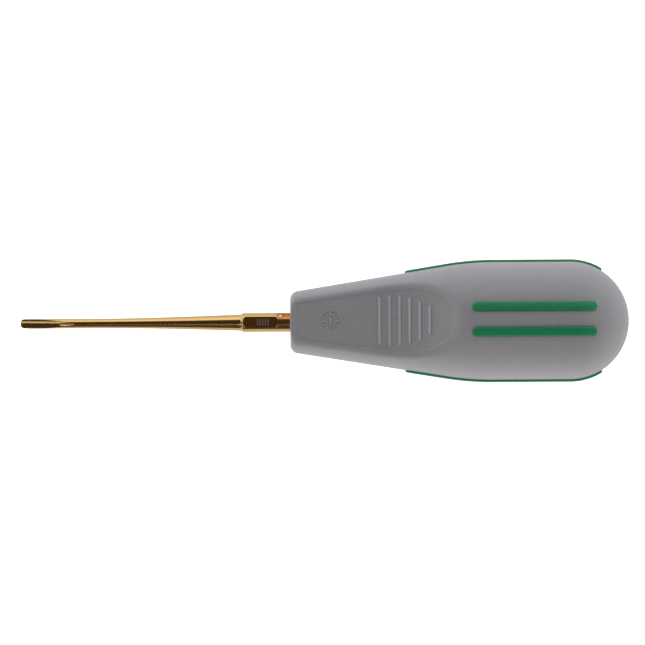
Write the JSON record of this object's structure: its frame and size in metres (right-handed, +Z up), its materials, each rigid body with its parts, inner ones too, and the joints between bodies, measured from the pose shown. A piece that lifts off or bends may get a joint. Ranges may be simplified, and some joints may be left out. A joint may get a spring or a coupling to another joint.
{
  "type": "dental elevator",
  "caption": "Straight luxating elevator: narrow hollow-ground blade on a slim shank, collar with a marking flat, and a fat barrel handle with finger facets and soft grip strips.",
  "frame": {"origin": "below the middle of the instrument's length, on the surface that the two lower grip strips stand on", "axes": "+X along the instrument from the blade's tip to the handle's round end, +Z up through the upper finger facet, +Y to the user's right hand when the tip points away"},
  "size_m": [0.145, 0.0292, 0.029],
  "materials": {
    "gold_coated_steel": "titanium nitride coating on polished stainless steel, fine grinding marks round the shank",
    "grey_polymer": "fine satin spark-eroded texture, neutral mid grey",
    "core_polymer": "plain moulded, dark grey, not seen from outside",
    "green_elastomer": "soft satin thermoplastic elastomer, bluish green"
  },
  "bodies": {
    "root": {"blade": "gold_coated_steel", "collar_shaft": "gold_coated_steel", "handle_core": "core_polymer", "handle_grip": "grey_polymer", "top_strip_left": "green_elastomer", "top_strip_right": "green_elastomer", "bottom_strip_left": "green_elastomer", "bottom_strip_right": "green_elastomer", "side_strip_left": "green_elastomer", "side_strip_right": "green_elastomer"}
  },
  "joints": []
}
